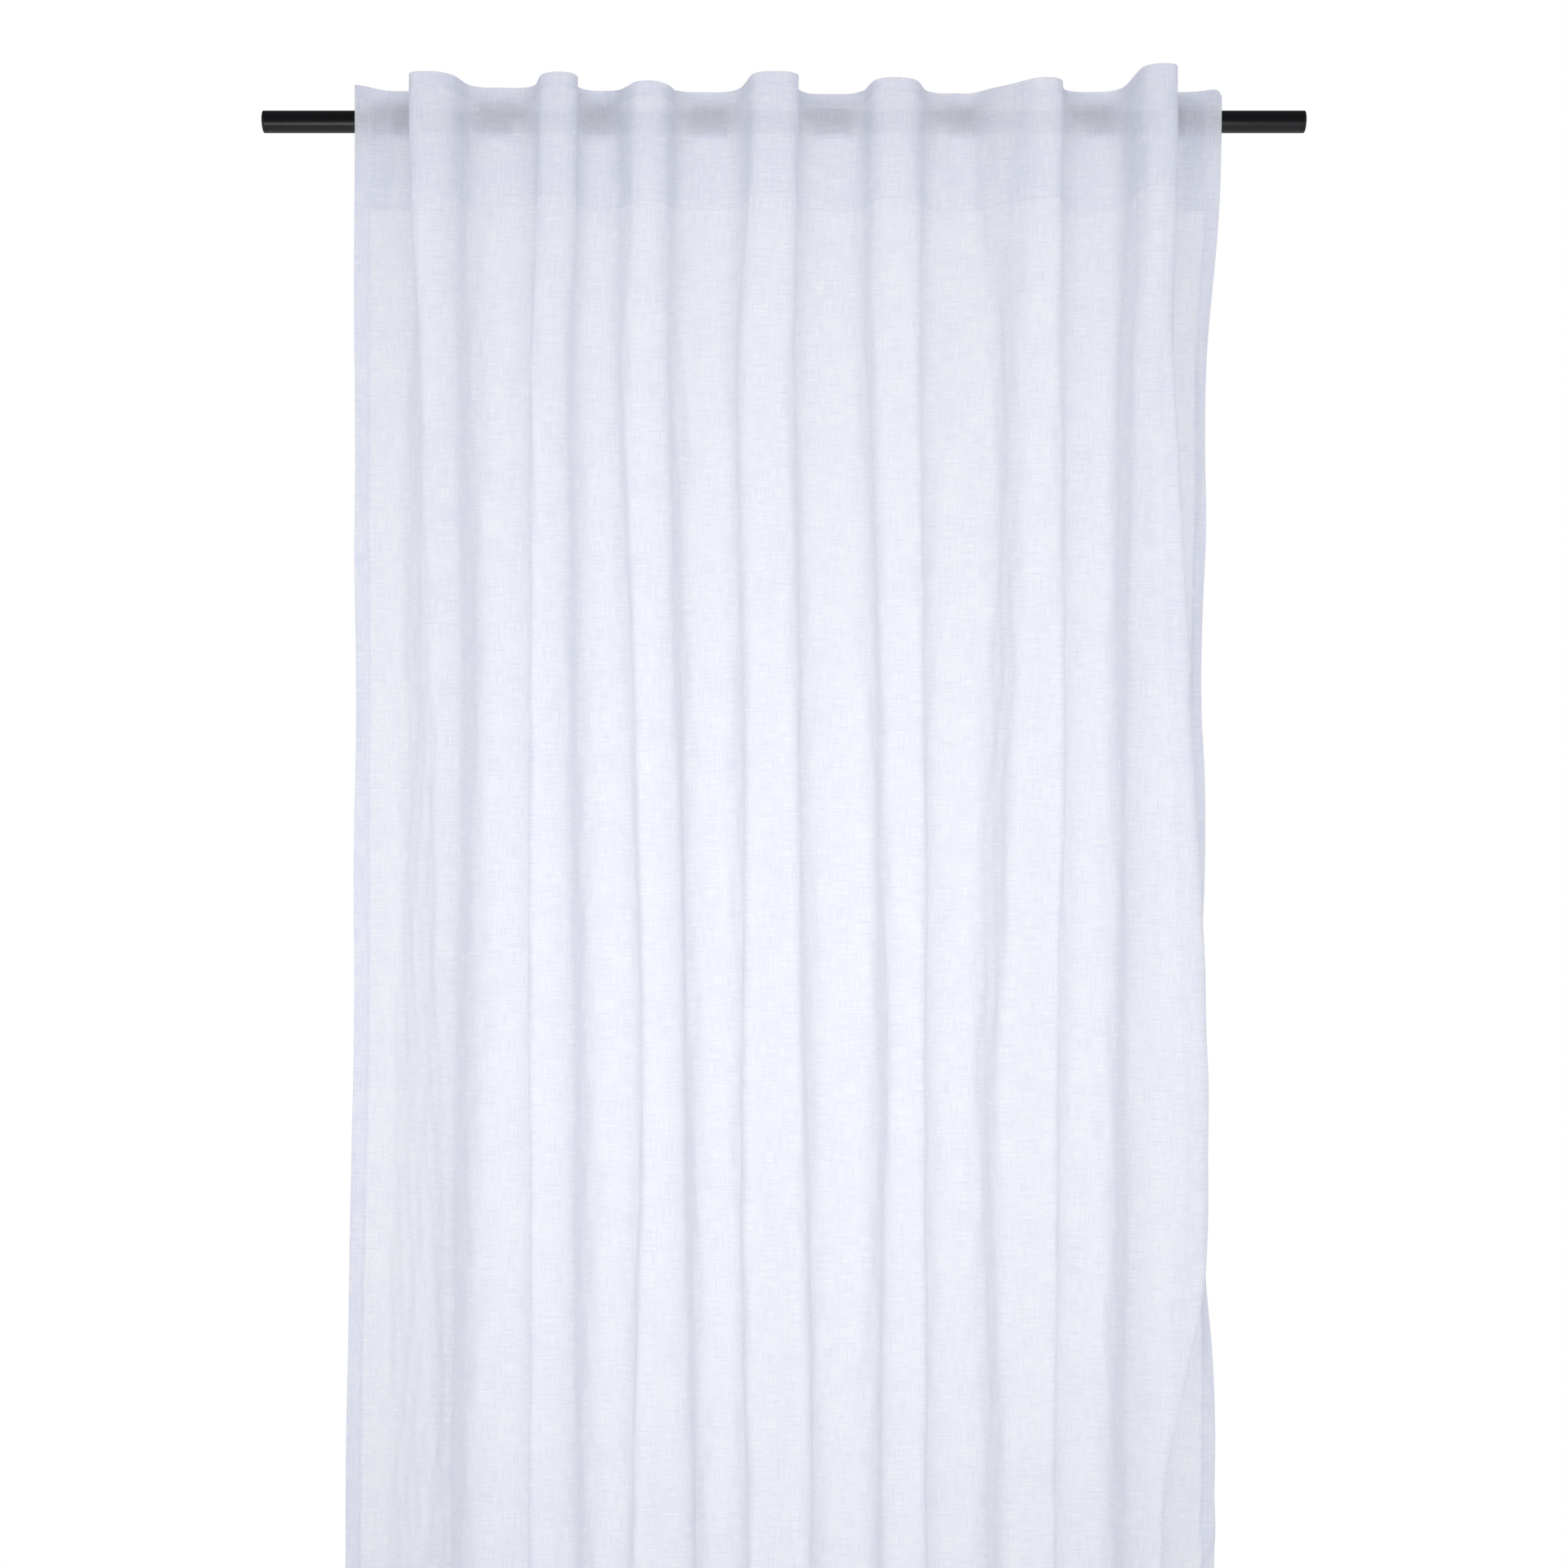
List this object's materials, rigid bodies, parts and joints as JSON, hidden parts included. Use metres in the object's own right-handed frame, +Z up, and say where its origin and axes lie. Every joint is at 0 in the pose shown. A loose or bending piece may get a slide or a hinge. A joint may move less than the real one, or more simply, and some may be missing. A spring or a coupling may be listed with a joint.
{
  "type": "window curtain on a rod",
  "caption": "Gathered linen window curtain hung by hidden back tabs on a straight black metal rod in wall brackets; it draws along the rod.",
  "frame": {"origin": "centre of the left bracket's wall plate, on the face that meets the wall", "axes": "+Z up, +X to the right along the rod, +Y out of the wall plate's back into the wall, the room at -Y"},
  "size_m": [0.96, 0.176, 2.134],
  "materials": {
    "black_powder_coat": "satin",
    "black_plastic": "satin",
    "zinc_steel": "satin",
    "linen_cloth": "matte",
    "heading_tape": "matte",
    "label_satin": "satin"
  },
  "bodies": {
    "root": {"wall_plate_left": "black_powder_coat", "bracket_arm_left": "black_powder_coat", "rod_cradle_left": "black_powder_coat", "wall_screw_left_upper": "zinc_steel", "wall_screw_left_lower": "zinc_steel", "wall_plate_right": "black_powder_coat", "bracket_arm_right": "black_powder_coat", "rod_cradle_right": "black_powder_coat", "wall_screw_right_upper": "zinc_steel", "wall_screw_right_lower": "zinc_steel"},
    "rod": {"rod_tube": "black_powder_coat", "rod_plug_left": "black_plastic", "rod_plug_right": "black_plastic"},
    "set_screw_left": {"set_screw_left": "black_powder_coat"},
    "set_screw_right": {"set_screw_right": "black_powder_coat"},
    "tab_1": {"back_tab_1": "heading_tape", "panel_edge_left": "linen_cloth", "heading_edge_left": "heading_tape", "hem_edge_left": "linen_cloth", "side_hem_left": "linen_cloth", "care_label": "label_satin", "panel_wave_1": "linen_cloth", "heading_wave_1": "heading_tape", "hem_wave_1": "linen_cloth"},
    "tab_2": {"back_tab_2": "heading_tape", "panel_wave_2": "linen_cloth", "heading_wave_2": "heading_tape", "hem_wave_2": "linen_cloth"},
    "tab_3": {"back_tab_3": "heading_tape", "panel_wave_3": "linen_cloth", "heading_wave_3": "heading_tape", "hem_wave_3": "linen_cloth"},
    "tab_4": {"back_tab_4": "heading_tape", "panel_wave_4": "linen_cloth", "heading_wave_4": "heading_tape", "hem_wave_4": "linen_cloth"},
    "tab_5": {"back_tab_5": "heading_tape", "panel_wave_5": "linen_cloth", "heading_wave_5": "heading_tape", "hem_wave_5": "linen_cloth"},
    "tab_6": {"back_tab_6": "heading_tape", "panel_wave_6": "linen_cloth", "heading_wave_6": "heading_tape", "hem_wave_6": "linen_cloth"},
    "tab_7": {"back_tab_7": "heading_tape", "panel_wave_7": "linen_cloth", "heading_wave_7": "heading_tape", "hem_wave_7": "linen_cloth"},
    "tab_8": {"back_tab_8": "heading_tape", "panel_edge_right": "linen_cloth", "heading_edge_right": "heading_tape", "hem_edge_right": "linen_cloth", "side_hem_right": "linen_cloth"}
  },
  "joints": [
    {"name": "rod_lift", "type": "slide", "parent": "root", "child": "rod", "axis": [0, 0, 1], "range_m": [0, 0.03]},
    {"name": "set_screw_left_turn", "type": "hinge", "parent": "root", "child": "set_screw_left", "pos_m": [0, -0.075, 0], "axis": [0, 0, 1], "range_deg": [-360, 0]},
    {"name": "set_screw_right_turn", "type": "hinge", "parent": "root", "child": "set_screw_right", "pos_m": [0.783, -0.075, 0], "axis": [0, 0, 1], "range_deg": [-360, 0]},
    {"name": "curtain_shift", "type": "slide", "parent": "rod", "child": "tab_1", "axis": [1, 0, 0], "range_m": [-0.004, 0.004]},
    {"name": "curtain_draw", "type": "slide", "parent": "tab_1", "child": "tab_2", "axis": [1, 0, 0], "range_m": [-0.048, 0], "deforming": ["panel_wave_1", "heading_wave_1", "hem_wave_1"]},
    {"name": "draw_tab_3", "type": "slide", "parent": "tab_2", "child": "tab_3", "axis": [1, 0, 0], "range_m": [-0.048, 0], "deforming": ["panel_wave_2", "heading_wave_2", "hem_wave_2"]},
    {"name": "draw_tab_4", "type": "slide", "parent": "tab_3", "child": "tab_4", "axis": [1, 0, 0], "range_m": [-0.052, 0], "deforming": ["panel_wave_3", "heading_wave_3", "hem_wave_3"]},
    {"name": "draw_tab_5", "type": "slide", "parent": "tab_4", "child": "tab_5", "axis": [1, 0, 0], "range_m": [-0.066, 0], "deforming": ["panel_wave_4", "heading_wave_4", "hem_wave_4"]},
    {"name": "draw_tab_6", "type": "slide", "parent": "tab_5", "child": "tab_6", "axis": [1, 0, 0], "range_m": [-0.074, 0], "deforming": ["panel_wave_5", "heading_wave_5", "hem_wave_5"]},
    {"name": "draw_tab_7", "type": "slide", "parent": "tab_6", "child": "tab_7", "axis": [1, 0, 0], "range_m": [-0.077, 0], "deforming": ["panel_wave_6", "heading_wave_6", "hem_wave_6"]},
    {"name": "draw_tab_8", "type": "slide", "parent": "tab_7", "child": "tab_8", "axis": [1, 0, 0], "range_m": [-0.026, 0], "deforming": ["panel_wave_7", "heading_wave_7", "hem_wave_7"]}
  ],
  "couplings": [
    {"joint": "draw_tab_3", "follows": "curtain_draw", "ratio": 1},
    {"joint": "draw_tab_4", "follows": "curtain_draw", "ratio": 1.0833},
    {"joint": "draw_tab_5", "follows": "curtain_draw", "ratio": 1.375},
    {"joint": "draw_tab_6", "follows": "curtain_draw", "ratio": 1.5417},
    {"joint": "draw_tab_7", "follows": "curtain_draw", "ratio": 1.6042},
    {"joint": "draw_tab_8", "follows": "curtain_draw", "ratio": 0.54166}
  ]
}
